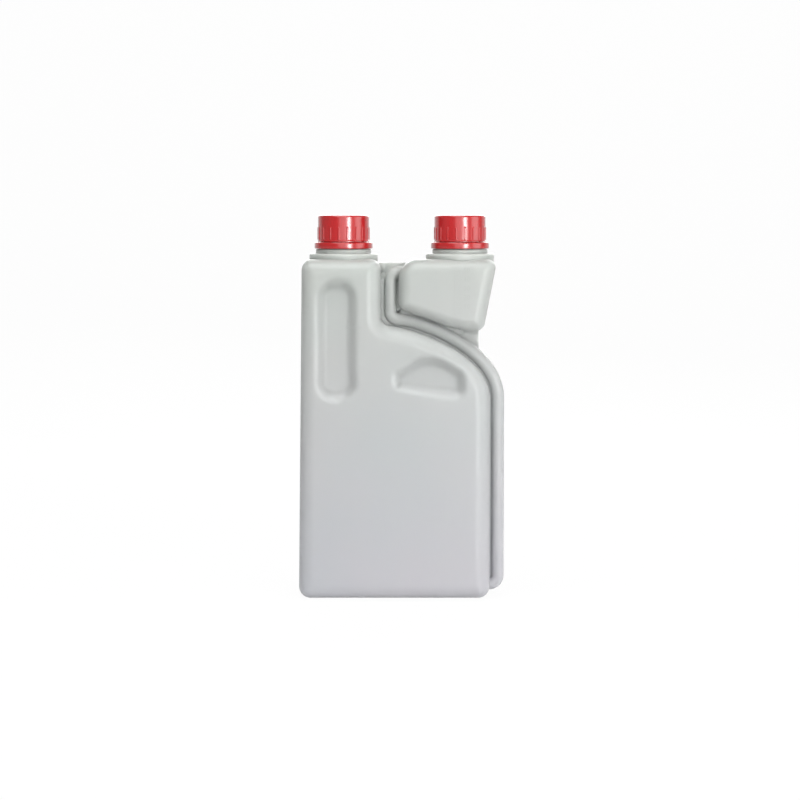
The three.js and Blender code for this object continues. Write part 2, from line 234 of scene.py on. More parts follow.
# Form of two mould halves: the front is y = -face(x, z) on a grid whose rows run from the outline's
# left side to its right side, the back is its mirror, and a strip across the thickness joins them all
# round. Columns crowd towards both ends like 1 - cos, rows where the sides are flat, and the strip's
# steps towards the middle, where the seam is, by a power of their place between the faces.
def mouldForm(name, outline, face, edge, columns, rows, across, rim=None):
    low, high = outline[:, 1].min(), outline[:, 1].max()
    bottom = np.flatnonzero(outline[:, 1] < low + 1e-4)
    top = np.flatnonzero(outline[:, 1] > high - 1e-4)
    bottomRight = bottom[outline[bottom, 0].argmax()]
    bottomLeft = bottom[outline[bottom, 0].argmin()]
    topRight = top[outline[top, 0].argmax()]
    topLeft = top[outline[top, 0].argmin()]
    count = len(outline)
    right = outline[(bottomRight + np.arange((topRight - bottomRight) % count + 1)) % count]
    left = outline[(topLeft + np.arange((bottomLeft - topLeft) % count + 1)) % count][::-1]
    fine = np.unique(np.concatenate([np.linspace(low, high, 4000), right[:, 1], left[:, 1]]))
    measure = fine - low
    for side in (right, left):
        x = np.interp(fine, side[:, 1], side[:, 0])
        measure = measure + 0.5 * np.concatenate([[0], np.cumsum(np.abs(np.diff(x)))])
    z = np.interp(np.linspace(0, measure[-1], rows), measure, fine)
    z[0], z[-1] = low, high
    xLeft = np.interp(z, left[:, 1], left[:, 0])[:, None]
    xRight = np.interp(z, right[:, 1], right[:, 0])[:, None]
    ends = max(3, columns // 8)
    share = 1 - np.cos(np.linspace(0, math.pi / 2, ends + 1))
    end = np.minimum(edge, 0.3 * (xRight - xLeft))
    middle = np.linspace(0, 1, columns - 2 * ends)[1:-1]
    x = np.concatenate([
        xLeft + end * share,
        xLeft + end + (xRight - xLeft - 2 * end) * middle,
        xRight - end * share[::-1],
    ], 1)
    zGrid = np.repeat(z[:, None], x.shape[1], 1)
    flat = np.stack([x.ravel(), zGrid.ravel()], 1)
    depth = distanceTo(flat, closedRun(outline)).reshape(x.shape)
    depth[0], depth[-1], depth[:, 0], depth[:, -1] = 0, 0, 0, 0
    y = face(x, zGrid, depth)
    grid = np.arange(x.size).reshape(x.shape)
    loop = np.concatenate([grid[0, :-1], grid[:-1, -1], grid[-1, :0:-1], grid[:0:-1, 0]])
    edgeX, edgeY, edgeZ = x.ravel()[loop], y.ravel()[loop], zGrid.ravel()[loop]
    t = np.linspace(-1, 1, across + 2)[1:-1]
    t = np.sign(t) * np.abs(t) ** 1.35
    strip = np.stack([
        np.repeat(edgeX[:, None], across, 1),
        edgeY[:, None] * t[None],
        np.repeat(edgeZ[:, None], across, 1),
    ], -1)
    if rim is not None:
        run = np.stack([edgeX, edgeZ], 1)
        along = np.roll(run, -1, 0) - np.roll(run, 1, 0)
        out = np.stack([along[:, 1], -along[:, 0]], 1) / np.linalg.norm(along, axis=1)[:, None]
        strip = rim(strip, out)
    front = np.stack([x, -y, zGrid], -1).reshape(-1, 3)
    back = np.stack([x, y, zGrid], -1).reshape(-1, 3)
    vertices = np.concatenate([front, back, strip.reshape(-1, 3)])
    stripNumbers = 2 * x.size + np.arange(len(loop) * across).reshape(len(loop), across)
    band = np.concatenate([loop[:, None], stripNumbers, loop[:, None] + x.size], 1)
    band = np.concatenate([band, band[:1]])
    faces = gridFaces(grid) + gridFaces(grid + x.size, True) + gridFaces(band)
    return meshPiece(name, vertices, faces)


# Profile carried along a path in the plane y = 0: each station's section is its middle, plus across
# times the path's normal, plus deep along Y. Both ends are closed by one face.
def carriedForm(name, path, section):
    ahead = np.gradient(path, axis=0)
    ahead /= np.linalg.norm(ahead, axis=1, keepdims=True)
    normal = np.stack([ahead[:, 1], -ahead[:, 0]], 1)
    x = path[:, None, 0] + normal[:, None, 0] * section[None, :, 0]
    z = path[:, None, 1] + normal[:, None, 1] * section[None, :, 0]
    y = np.repeat(section[None, :, 1], len(path), 0)
    vertices = np.stack([x, y, z], -1).reshape(-1, 3)
    numbers = np.arange(len(vertices)).reshape(len(path), len(section))
    ring = np.concatenate([numbers, numbers[:, :1]], 1)
    faces = gridFaces(ring) + [numbers[0, ::-1].tolist(), numbers[-1].tolist()]
    return meshPiece(name, vertices, faces)


# Turned form: a profile (r, z) carried round the upright axis through x, closed on itself or from axis
# to axis, with an optional change of each radius by angle and height.
def turnedForm(name, profile, x, steps, shape=None, closed=False):
    angle = np.linspace(0, 2 * math.pi, steps, endpoint=False)[:, None]
    r = np.repeat(profile[None, :, 0], steps, 0)
    z = np.repeat(profile[None, :, 1], steps, 0)
    if shape is not None:
        r, z = shape(angle, r, z)
    vertices = np.stack([x + r * np.cos(angle), r * np.sin(angle), z], -1)
    numbers = np.arange(vertices.size // 3).reshape(steps, -1)
    if not closed:
        inner = numbers[:, 1:-1]
        used = vertices[:, 1:-1].reshape(-1, 3)
        rows = np.arange(len(used)).reshape(steps, -1)
        ring = np.concatenate([rows, rows[:1]])
        first, last = len(used), len(used) + 1
        poles = np.array([[x, 0, profile[0, 1]], [x, 0, profile[-1, 1]]])
        faces = gridFaces(ring, True)
        faces += [[first, int(b), int(a)] for a, b in zip(ring[:-1, 0], ring[1:, 0])]
        faces += [[last, int(a), int(b)] for a, b in zip(ring[:-1, -1], ring[1:, -1])]
        return meshPiece(name, np.concatenate([used, poles]), faces)
    ring = np.concatenate([numbers, numbers[:1]])
    ring = np.concatenate([ring, ring[:, :1]], 1)
    return meshPiece(name, vertices.reshape(-1, 3), gridFaces(ring, True))


# Faces turned outwards: a closed form's signed volume, the sum of a . (b x c) / 6, is then positive.
def outward(piece):
    mesh = piece.data
    mesh.calc_loop_triangles()
    corners = np.zeros(len(mesh.loop_triangles) * 3, int)
    mesh.loop_triangles.foreach_get("vertices", corners)
    a, b, c = pointsOf(mesh)[corners.reshape(-1, 3)].transpose(1, 0, 2)
    if (a * np.cross(b, c)).sum() / 6 < 0:
        mesh.flip_normals()
    return piece


# One form from several, by a Boolean for each.
def combine(piece, others, operation):
    bpy.context.view_layer.objects.active = piece
    for other in others:
        cut = piece.modifiers.new("combine", "BOOLEAN")
        cut.operation = operation
        cut.solver = "MANIFOLD"
        cut.object = other
        bpy.ops.object.modifier_apply(modifier=cut.name)
        bpy.data.objects.remove(other)
    return piece


def smoothShade(piece, degrees=32):
    mesh = piece.data
    mesh.polygons.foreach_set("use_smooth", np.ones(len(mesh.polygons), bool))
    bpy.context.view_layer.objects.active = piece
    piece.select_set(True)
    bpy.ops.object.shade_smooth_by_angle(angle=math.radians(degrees))
    piece.select_set(False)
    return piece


reservoirOutline = roundedRun([
    (baseLeft, 0, body["baseCorner"]),
    (sideX, 0, body["baseCorner"]),
    *besideShoulder(0, np.linspace(0, body["shoulderEnd"], 60)).tolist(),
    (columnRight, body["shoulderTop"] + 1, body["columnFillet"]),
    (columnRight, body["top"], body["columnCorner"]),
    (columnLeft, body["top"], body["columnCorner"]),
])
floorGap = tube["width"] + 2 * tube["groove"]
chamberOutline = roundedRun([
    (chamberLeft, body["top"], chamber["topCorner"]),
    (chamberLeft, besideShoulder(floorGap, [chamber["cornerAt"]])[0, 1] + chamber["cornerRise"],
     chamber["corner"]),
    *besideShoulder(floorGap, np.linspace(chamber["floorFrom"], chamber["floorTo"], 24)).tolist(),
    (toeX - chamber["toe"], chamberFloor, chamber["corner"]),
    (toeX, chamberFloor, chamber["corner"]),
    (chamberRight, body["top"], chamber["corner"]),
])
tubeEntry = body["top"] - tube["head"]
overShoulder = besideShoulder(tube["groove"] + tube["width"] / 2, np.linspace(0, tube["shoulderEnd"], 70))
tubeCorners = [
    (sideX - 2 * body["wall"] - tube["bend"], tube["foot"]),
    (tubeX, tube["foot"], tube["bend"]),
    *overShoulder.tolist(),
    (riserX, overShoulder[-1, 1] + tube["riserRise"], tube["bend"]),
    (riserX, tubeEntry, tube["bend"]),
    (chamberLeft + chamber["topCorner"], tubeEntry),
]
tubeLine = roundedRun(tubeCorners, 10, closed=False)

# The grips: a capsule down the column and a rounded fan under the shoulder, front and back. "ledge" is
# the width of a grip's wall at its low end, "slope" its width above, and "Grow" the height between.
grips = {
    "depth": 4.8, "slope": 9.0, "ledge": 7.5,
    "thumbInset": 7.2, "thumbWidth": 28.5, "thumbBottom": 119.3, "thumbHeight": 77.5, "thumbCorner": 13.5,
    "thumbLedge": 6.0, "thumbGrow": 18.0,
    "palmInset": 12.4, "palmWidth": 47.5, "palmBottom": 118.6, "palmTilt": 8.4, "palmRight": 21.0,
    "palmLeft": 12.4, "palmPeak": 36.0, "palmPeakInset": 25.5, "palmPeakCorner": 24.0,
    "palmLeftCorner": 6.0, "palmLowCorner": 8.0, "palmHighCorner": 9.0, "palmGrow": 20.0,
    "palmDrop": 20.0, "palmDropFrom": 22.0, "palmDropRun": 18.0,
}
thumbLeft = columnLeft + grips["thumbInset"]
thumbRight = thumbLeft + grips["thumbWidth"]
thumbTop = grips["thumbBottom"] + grips["thumbHeight"]
thumbOutline = roundedRun([
    (x, z, grips["thumbCorner"]) for x, z in (
        (thumbLeft, grips["thumbBottom"]), (thumbRight, grips["thumbBottom"]),
        (thumbRight, thumbTop), (thumbLeft, thumbTop))
])
palmRight = sideX - grips["palmInset"]
palmLeft = palmRight - grips["palmWidth"]
palmLow = grips["palmBottom"]
palmOutline = roundedRun([
    (palmLeft, palmLow + grips["palmTilt"], grips["palmLeftCorner"]),
    (palmRight, palmLow, grips["palmLowCorner"]),
    (palmRight, palmLow + grips["palmRight"], grips["palmHighCorner"]),
    (palmRight - grips["palmPeakInset"], palmLow + grips["palmPeak"], grips["palmPeakCorner"]),
    (palmLeft, palmLow + grips["palmTilt"] + grips["palmLeft"], grips["palmLeftCorner"]),
])


def thumbEdge(x):
    return np.full(x.shape, grips["thumbBottom"] + grips["thumbLedge"])


# Height of the palm grip's ledge: a straight line that climbs to the left, and drops away at the right
# end, where the ledge dies out.
def palmEdge(x):
    drop = grips["palmDrop"] * smoothStep((x - palmRight + grips["palmDropFrom"]) / grips["palmDropRun"])
    return palmLow + grips["palmTilt"] * (palmRight - x) / grips["palmWidth"] - drop


# Depth of a pressed grip: a smooth step of the distance inside its outline. Its wall is steepest at
# the low end, up to a height that depends on x, and softens over the rise above that.
def gripPress(x, z, outline, low, rise):
    flat = np.stack([x.ravel(), z.ravel()], 1)
    near = ((flat > outline.min(0) - 1) & (flat < outline.max(0) + 1)).all(1)
    depth = np.zeros(len(flat))
    points = flat[near]
    inside = np.where(insideOf(points, outline), distanceTo(points, closedRun(outline)), 0)
    grow = smoothStep((points[:, 1] - low(points[:, 0])) / rise)
    slope = grips["ledge"] + (grips["slope"] - grips["ledge"]) * grow
    depth[near] = grips["depth"] * smoothStep(inside / slope)
    return depth.reshape(x.shape)


# Rise of a slab's face from its outline: a quarter ellipse across its rounded edge, then level.
def edgeRise(depth, across, deep):
    return deep * np.sqrt(np.clip(1 - (1 - np.clip(depth / across, 0, 1)) ** 2, 0, 1))


def reservoirFace(inset):
    def face(x, z, depth):
        across, deep = body["edgeAcross"] - inset, body["edgeDeep"] - inset
        y = halfDepth - body["edgeDeep"] + edgeRise(depth, across, deep)
        middle = (sideX + baseLeft) / 2
        y -= body["crown"] * ((x - middle) / (sideX - middle)) ** 2 * smoothStep(depth / across)
        y -= gripPress(x, z, thumbOutline, thumbEdge, grips["thumbGrow"])
        return y - gripPress(x, z, palmOutline, palmEdge, grips["palmGrow"])
    return face


def chamberFace(inset):
    def face(x, z, depth):
        across, deep = chamber["edgeAcross"] - inset, chamber["edgeDeep"] - inset
        y = chamber["depth"] / 2 - chamber["edgeDeep"] + edgeRise(depth, across, deep)
        middle = (chamberLeft + chamberRight) / 2
        return y - chamber["crown"] * ((x - middle) / (chamberRight - middle)) ** 2
    return face


# Strip across the thickness: a fine raised seam where the mould halves met, and a push-up under the
# base that sinks smoothly inside its rim.
def reservoirRim(inset):
    def rim(strip, out):
        y = strip[..., 1]
        seam = body["seamHeight"] * np.exp(-(y / body["seamWidth"]) ** 2) * (inset == 0)
        strip[..., 0] += out[:, None, 0] * seam
        strip[..., 2] += out[:, None, 1] * seam
        below = strip[..., 2] < inset + 0.5
        sides = halfDepth - body["edgeDeep"] - body["standWidth"]
        left = baseLeft + body["baseCorner"] + body["standWidth"]
        right = sideX - body["baseCorner"] - body["standWidth"]
        inside = np.minimum(sides - np.abs(y), np.minimum(strip[..., 0] - left, right - strip[..., 0]))
        lift = (body["pushUp"] + body["seamHeight"]) * smoothStep(inside / body["baseSlope"]) * below
        strip[..., 2] += np.where(below, lift + seam, 0)
        return strip
    return rim


def reservoirForm(inset, columns, rows, across):
    outline = insetOutline(reservoirOutline, inset) if inset else reservoirOutline
    return mouldForm("reservoirForm", outline, reservoirFace(inset), body["edgeAcross"] - inset,
                     columns, rows, across, reservoirRim(inset))


def chamberForm(inset, columns, rows, across):
    outline = insetOutline(chamberOutline, inset) if inset else chamberOutline
    return mouldForm("chamberForm", outline, chamberFace(inset), chamber["edgeAcross"] - inset,
                     columns, rows, across)


def tubeForm(inset, quarterSteps):
    halfWidth, halfDeep = tube["width"] / 2 - inset, tube["depth"] / 2 - inset
    radius = tube["corner"] - inset
    section = roundedRun([
        (-halfWidth, -halfDeep, radius), (halfWidth, -halfDeep, radius),
        (halfWidth, halfDeep, radius), (-halfWidth, halfDeep, radius),
    ], quarterSteps)
    return carriedForm("tubeForm", tubeLine, section)


# The web's face: half its thickness, with a quarter-round cove where it meets the forms beside it, and
# raised where the tube and another form are less than a gap apart.
def webForm():
    lipTop = chamberFloor + web["lipRise"]
    lipX = toeX - chamber["corner"] / 2
    outline = np.array([
        (columnRight - web["tuck"], body["top"] - web["top"]),
        (columnRight - web["tuck"], body["shoulderTop"] - web["tuck"]),
        (sideX - web["sideTuck"], body["sideTop"]),
        (sideX - web["sideTuck"], tube["foot"]),
        (tubeX, tube["foot"]),
        (tubeX, body["sideTop"]),
        (lipX, lipTop - web["lip"]),
        (lipX, lipTop),
        (chamberLeft + chamber["topCorner"], body["top"] - web["top"]),
    ])

    def face(x, z, depth):
        flat = np.stack([x.ravel(), z.ravel()], 1)
        near = np.minimum(distanceTo(flat, closedRun(reservoirOutline)),
                          distanceTo(flat, closedRun(chamberOutline)))
        besideTube = np.clip(distanceTo(flat, tubeLine) - tube["width"] / 2, 0, None)
        fade = smoothStep((body["top"] - web["top"] - web["fadeGap"] - flat[:, 1]) / web["fadeRun"])
        narrow = smoothStep((web["gap"] + web["fillSlope"] - near - besideTube) / web["fillSlope"])
        filled = web["fill"] * fade * narrow
        cove = np.clip(1 - np.minimum(near, besideTube) / web["cove"], 0, 1)
        rise = web["cove"] * (1 - np.sqrt(np.clip(1 - cove**2, 0, 1)))
        return web["thickness"] / 2 + np.maximum(filled, rise).reshape(x.shape)

    return mouldForm("webForm", outline, face, web["edge"], *grids["web"])


# Thread: a ridge that climbs one pitch for each turn, counted from a start height, faded in and out.
def threadRidge(angle, z, start, end, width, phase):
    turns = z / neck["pitch"] - angle / (2 * math.pi) - phase
    off = np.abs(turns - np.round(turns)) * neck["pitch"]
    ridge = smoothStep((width / 2 - off) / (width * 0.3))
    fade = neck["threadFade"]
    return ridge * smoothStep((z - start) / fade) * smoothStep((end - z) / fade)


# The neck finish: collar, base, bead for the tamper ring, thread and lip, turned about its own axis.
def neckForm(place):
    spot = closures[place]
    beadLow = spot["ringBottom"] + neck["beadLift"]
    beadTop = beadLow + neck["beadHeight"]
    r, beadRadius = neck["radius"], neck["radius"] + neck["beadDepth"]
    corners = [
        (0, body["top"] - neck["skirt"]), (neck["collarRadius"], body["top"] - neck["skirt"]),
        (neck["collarRadius"], collarTop, neck["fillet"]),
        (neck["baseRadius"], collarTop, 0.6), (neck["baseRadius"], neckBaseTop, 0.8),
        (r, neckBaseTop, 0.3), (r, beadLow, 0.25), (beadRadius, beadLow, 0.3),
        (beadRadius, beadLow + neck["beadBand"], 0.3), (r, beadTop, 0.3),
    ]
    lower = roundedRun(corners, 5, closed=False)[:-1]
    finish = np.stack([np.full(54, r), np.linspace(beadTop, rimZ - 0.7, 54)], 1)
    lip = roundedRun([(r, rimZ - 0.6), (r, rimZ, 0.5), (0, rimZ)], 5, closed=False)

    def shape(angle, radii, z):
        onFinish = np.abs(radii - r) < 1e-6
        ridge = threadRidge(angle, z, rimZ - neck["threadFoot"], rimZ - neck["threadHead"],
                            neck["threadWidth"], 0.0)
        return radii + neck["threadDepth"] * ridge * onFinish, z

    return turnedForm("neckForm", np.concatenate([lower, finish, lip]), spot["x"], neck["steps"], shape)


# The room inside a neck, one wall inside its form, up through the rim.
def neckHollow(place):
    wall = neck["wall"]
    bore, base = neck["radius"] - wall, neck["baseRadius"] - wall
    collar, foot = neck["collarRadius"] - wall, body["top"] - neck["skirt"]
    corners = [
        (0, foot), (collar, foot), (collar, collarTop - wall, 0.8), (base, collarTop - wall, 0.5),
        (base, neckBaseTop - wall, 0.8), (bore, neckBaseTop - wall / 2, 0.6),
        (bore, rimZ - 0.4), (bore + 0.5, rimZ + 0.3), (0, rimZ + 0.3),
    ]
    profile = roundedRun(corners, 3, closed=False)
    return turnedForm("neckHollow", profile, closures[place]["x"], neck["hollowSteps"])


# The moulding: all outer forms in one, less all the room inside them.
def blownBottle():
    outer = [outward(form) for form in (
        reservoirForm(0, *grids["reservoir"]), chamberForm(0, *grids["chamber"]), tubeForm(0, 5),
        webForm(), neckForm("reservoir"), neckForm("dosing"))]
    bottle = combine(outer[0], outer[1:], "UNION")
    inner = [outward(form) for form in (
        reservoirForm(body["wall"], *grids["reservoirInside"]),
        chamberForm(body["wall"], *grids["chamberInside"]),
        tubeForm(tube["wall"], 3), neckHollow("reservoir"), neckHollow("dosing"))]
    hollow = combine(inner[0], inner[1:], "UNION")
    combine(bottle, [hollow], "DIFFERENCE")
    bottle.name = "blownBottle"
    return smoothShade(bottle)


# The screw cap: ribbed skirt, rounded top edge, a fine foot bead, and the thread inside
cap = {
    "wall": 1.6, "topWall": 1.5, "gap": 0.3, "fillet": 1.1, "footBead": 0.22, "beadTop": 0.95, "steps": 360,
    "ribs": 18, "ribWidth": 1.25, "ribProud": 0.35, "ribTop": 9.2, "ribFoot": 1.25,
    "threadGap": 0.1, "threadWidth": 1.7, "threadFoot": 11.0, "threadHead": 1.2,
}


def screwCap(place):
    spot = closures[place]
    low, top = spot["capBottom"], spot["capTop"]
    bore = neck["radius"] + neck["threadDepth"] + cap["gap"]
    radius = bore + cap["wall"]
    ceiling = top - cap["topWall"]
    outer = roundedRun([(0, top), (radius, top, cap["fillet"]), (radius, low + 1)], 7, closed=False)
    skirt = np.stack([np.full(60, radius), np.linspace(top - cap["fillet"] - 0.2, low + 0.3, 60)], 1)
    foot = roundedRun([(radius, low + 0.2), (radius, low, 0.15), (bore, low, 0.3), (bore, low + 0.6)],
                      3, closed=False)
    inside = np.stack([np.full(56, bore), np.linspace(low + 0.7, ceiling - 0.6, 56)], 1)
    roof = roundedRun([(bore, ceiling - 0.5), (bore, ceiling, 0.4), (0, ceiling)], 4, closed=False)
    profile = np.concatenate([outer[:-1], skirt, foot, inside, roof])

    def shape(angle, r, z):
        outside = np.abs(r - radius) < 1e-6
        turn = angle / (2 * math.pi) * cap["ribs"]
        off = np.abs(turn - np.round(turn)) / cap["ribs"] * 2 * math.pi * radius
        rib = smoothStep((cap["ribWidth"] / 2 - off) / (cap["ribWidth"] * 0.36))
        rib = rib * smoothStep((low + cap["ribTop"] - z) / 0.8)
        rib = rib * smoothStep((z - low - cap["ribFoot"] + 0.3) / 0.3)
        bead = smoothStep((low + cap["beadTop"] - z) / 0.25) * cap["footBead"]
        r = r + outside * (cap["ribProud"] * rib + bead * (z > low + 0.15))
        ridge = threadRidge(angle, z, rimZ - cap["threadFoot"], rimZ - cap["threadHead"],
                            cap["threadWidth"], 0.5)
        return r - (np.abs(r - bore) < 1e-6) * (neck["threadDepth"] - cap["threadGap"]) * ridge, z

    piece = outward(turnedForm(place + "ScrewCap", profile, spot["x"], cap["steps"], shape))
    return smoothShade(piece, 40)


# The sealing liner: a foam disc, with a shallow ring pressed into its underside by the neck's rim
liner = {"edge": 0.25, "pressDepth": 0.12, "pressWidth": 0.8, "steps": 96}


def sealingLiner(place):
    spot = closures[place]
    bore = neck["radius"] + neck["threadDepth"]
    profile = roundedRun([
        (0, spot["linerBottom"]), (bore, spot["linerBottom"], liner["edge"]),
        (bore, spot["linerTop"], liner["edge"]), (0, spot["linerTop"]),
    ], 4, closed=False)
    rows = np.linspace(0, 1, 40)[1:-1, None] * (profile[1] - profile[0]) + profile[0]
    profile = np.concatenate([profile[:1], rows, profile[1:]])

    def shape(angle, r, z):
        press = np.exp(-((r - neck["radius"] + neck["wall"] / 2) / liner["pressWidth"]) ** 2)
        return r, z + liner["pressDepth"] * press * (z < spot["linerBottom"] + 1e-6)

    piece = outward(turnedForm(place + "SealingLiner", profile, spot["x"], liner["steps"], shape))
    return smoothShade(piece)


# The tamper ring: a rounded band with a lip under the neck's bead and torn bridge stubs on its top
tamper = {"gap": 0.3, "lipHeight": 1.0, "bridges": 12, "stubWidth": 1.0, "stubHeight": 0.2, "steps": 288}


def tamperRing(place):
    spot = closures[place]
    low, top, radius = spot["ringBottom"], spot["ringTop"], spot["ringRadius"]
    bead = neck["radius"] + neck["beadDepth"]
    lip = (neck["radius"] + bead) / 2
    profile = roundedRun([
        (radius, low, 0.35), (radius, top, 0.8), (bead + tamper["gap"], top, 0.15),
        (bead + tamper["gap"], low + tamper["lipHeight"], 0.15),
        (lip, low + tamper["lipHeight"], 0.2), (lip, low, 0.2),
    ], 5)
    seatRow = np.stack([np.linspace(radius - 0.9, bead + 0.5, 8), np.full(8, top)], 1)
    cut = np.flatnonzero(np.isclose(profile[:, 1], top))[0] + 1
    profile = np.concatenate([profile[:cut], seatRow, profile[cut:]])

    def shape(angle, r, z):
        turn = angle / (2 * math.pi) * tamper["bridges"]
        off = np.abs(turn - np.round(turn)) / tamper["bridges"] * 2 * math.pi * bead
        stub = smoothStep((tamper["stubWidth"] / 2 - off) / 0.2)
        stub = stub * smoothStep((0.6 - np.abs(r - bead - 0.75)) / 0.25)
        return r, z + tamper["stubHeight"] * stub * (z > top - 0.05)

    form = turnedForm(place + "TamperRing", profile, spot["x"], tamper["steps"], shape, closed=True)
    piece = outward(form)
    return smoothShade(piece, 40)


# The chamber's raised scale: a thin upright line, ticks and plain numbers, on the front
scale = {
    "lineX": 32.2, "low": 172.5, "high": 200.0, "overrun": 1.0, "steps": 10, "long": 4.2, "short": 2.4,
    "line": 0.5, "proud": 0.18, "root": 0.5, "sink": 0.12, "numberStep": 10, "numberSize": 4.0,
    "numberGap": 1.0, "numberDrop": 0.1,
}


# A bar with bevelled edges, as eight vertices and six faces: its root lies inside the wall.
def raisedBar(x0, x1, z0, z1, y, proud):
    inset = min(0.12, (x1 - x0) / 4, (z1 - z0) / 4)
    base = np.array([[x0, z0], [x1, z0], [x1, z1], [x0, z1]])
    middle = base.mean(0)
    topCorners = base + np.sign(middle - base) * inset
    under = np.column_stack([base[:, 0], np.full(4, y + scale["root"]), base[:, 1]])
    over = np.column_stack([topCorners[:, 0], np.full(4, y - proud), topCorners[:, 1]])
    faces = np.array([[3, 2, 1, 0], [4, 5, 6, 7], [0, 1, 5, 4], [1, 2, 6, 5], [2, 3, 7, 6], [3, 0, 4, 7]])
    return np.concatenate([under, over]), faces


def raisedScale():
    y = -chamber["depth"] / 2 + scale["sink"]
    half = scale["line"] / 2
    vertices, faces = [], []
    bars = [(scale["lineX"] - half, scale["lineX"] + half,
             scale["low"] - scale["overrun"], scale["high"] + scale["overrun"])]
    for i in range(scale["steps"] + 1):
        z = scale["low"] + (scale["high"] - scale["low"]) * i / scale["steps"]
        reach = scale["long"] if i % 2 == 0 else scale["short"]
        bars.append((scale["lineX"], scale["lineX"] + reach, z - half, z + half))
    for i, (x0, x1, z0, z1) in enumerate(bars):
        points, sides = raisedBar(x0, x1, z0, z1, y, scale["proud"])
        vertices.append(points)
        faces += (sides + 8 * i).tolist()
    marks = outward(meshPiece("raisedScale", np.concatenate(vertices), faces))
    for i in range(1, scale["steps"] // 2 + 1):
        z = scale["low"] + (scale["high"] - scale["low"]) * 2 * i / scale["steps"]
        curve = bpy.data.curves.new("scaleNumber", "FONT")
        curve.body = str(scale["numberStep"] * i)
        curve.size = scale["numberSize"] * mm
        curve.extrude = scale["proud"] * mm / 2
        curve.align_x, curve.align_y = "LEFT", "CENTER"
        text = addObject("scaleNumber", curve)
        bpy.context.view_layer.update()
        mesh = bpy.data.meshes.new_from_object(text)
        numberX = scale["lineX"] + scale["long"] + scale["numberGap"]
        place = Vector((numberX * mm, y * mm, (z - scale["numberDrop"]) * mm))
        points = pointsOf(mesh)
        turned = np.column_stack([points[:, 0], -points[:, 2], points[:, 1]]) + np.array(place)
        mesh.vertices.foreach_set("co", turned.ravel())
        number = addObject("scaleNumber", mesh)
        bpy.data.objects.remove(text)
        with bpy.context.temp_override(active_object=marks, selected_editable_objects=[marks, number]):
            bpy.ops.object.join()
    marks.name = "raisedScale"
    return marks


bottle = blownBottle()
bottle.data.calc_loop_triangles()
print("blown bottle made,", len(bottle.data.loop_triangles), "triangles")
pieces = {"blownBottle": bottle}
for place in closures:
    pieces[place + "Cap"] = screwCap(place)
    pieces[place + "Liner"] = sealingLiner(place)
    pieces[place + "Ring"] = tamperRing(place)
marks = raisedScale()
print("caps, liners, rings and scale made")


# Shader group: soft clouding of blown plastic, a slow noise and a fine one, as a mask and a height, and a
# mask that grows from the bottle's foot to its shoulders, which carries the body's painted shading.
def blownGrainGroup():
    group = bpy.data.node_groups.new("blownGrain", "ShaderNodeTree")
    for socket, way in (("Cloud Scale", "INPUT"), ("Grain Scale", "INPUT"),
                        ("Cloud", "OUTPUT"), ("Height", "OUTPUT"), ("Painted Shade Height", "OUTPUT")):
        group.interface.new_socket(socket, in_out=way, socket_type="NodeSocketFloat")
    nodes, links = group.nodes, group.links
    inputs = nodes.new("NodeGroupInput")
    outputs = nodes.new("NodeGroupOutput")
    place = nodes.new("ShaderNodeTexCoord")
    cloud = nodes.new("ShaderNodeTexNoise")
    cloud.inputs["Detail"].default_value = 3
    grain = nodes.new("ShaderNodeTexNoise")
    grain.inputs["Detail"].default_value = 4
    grain.inputs["Roughness"].default_value = 0.6
    links.new(place.outputs["Object"], cloud.inputs["Vector"])
    links.new(place.outputs["Object"], grain.inputs["Vector"])
    links.new(inputs.outputs["Cloud Scale"], cloud.inputs["Scale"])
    links.new(inputs.outputs["Grain Scale"], grain.inputs["Scale"])
    split = nodes.new("ShaderNodeSeparateXYZ")
    links.new(place.outputs["Object"], split.inputs["Vector"])
    height = nodes.new("ShaderNodeMapRange")
    height.inputs["From Min"].default_value = 0.0
    height.inputs["From Max"].default_value = 0.21
    links.new(split.outputs["Z"], height.inputs["Value"])
    links.new(cloud.outputs["Fac"], outputs.inputs["Cloud"])
    links.new(grain.outputs["Fac"], outputs.inputs["Height"])
    links.new(height.outputs["Result"], outputs.inputs["Painted Shade Height"])
    return group


blownGrain = blownGrainGroup()


def newMaterial(name):
    material = bpy.data.materials.new(name)
    material.use_nodes = True
    nodes, links = material.node_tree.nodes, material.node_tree.links
    return material, nodes, links, nodes["Principled BSDF"]


def addGrain(nodes, links, shader, cloudScale, grainScale, strength, distance):
    grain = nodes.new("ShaderNodeGroup")
    grain.node_tree = blownGrain
    grain.inputs["Cloud Scale"].default_value = cloudScale
    grain.inputs["Grain Scale"].default_value = grainScale
    bump = nodes.new("ShaderNodeBump")
    bump.inputs["Strength"].default_value = strength
    bump.inputs["Distance"].default_value = distance
    links.new(grain.outputs["Height"], bump.inputs["Height"])
    links.new(bump.outputs["Normal"], shader.inputs["Normal"])
    return grain


def varyRoughness(nodes, links, shader, mask, low, high):
    rough = nodes.new("ShaderNodeMapRange")
    rough.inputs["To Min"].default_value = low
    rough.inputs["To Max"].default_value = high
    links.new(mask, rough.inputs["Value"])
    links.new(rough.outputs["Result"], shader.inputs["Roughness"])


def blend(nodes, links, factor, low, high):
    mix = nodes.new("ShaderNodeMix")
    mix.data_type = "RGBA"
    mix.inputs["A"].default_value = (*low, 1)
    mix.inputs["B"].default_value = (*high, 1)
    links.new(factor, mix.inputs["Factor"])
    return mix.outputs["Result"]


# Natural blown plastic: milky and slightly translucent, with painted shading by height: a lighter lilac low
# down and a darker green towards the top
naturalPlastic = {
    # low and high: the painted shading at the foot and at the shoulders
    "low": (0.448, 0.442, 0.472), "high": (0.418, 0.436, 0.414),
    "patchGreen": (0.90, 0.96, 0.955), "patchPink": (1.0, 0.965, 0.965), "patchScale": 14,
    "roughness": (0.35, 0.47), "subsurface": 1.0, "radius": 0.006, "transmission": 0.1, "ior": 1.5,
    "grain": 0.25,
}


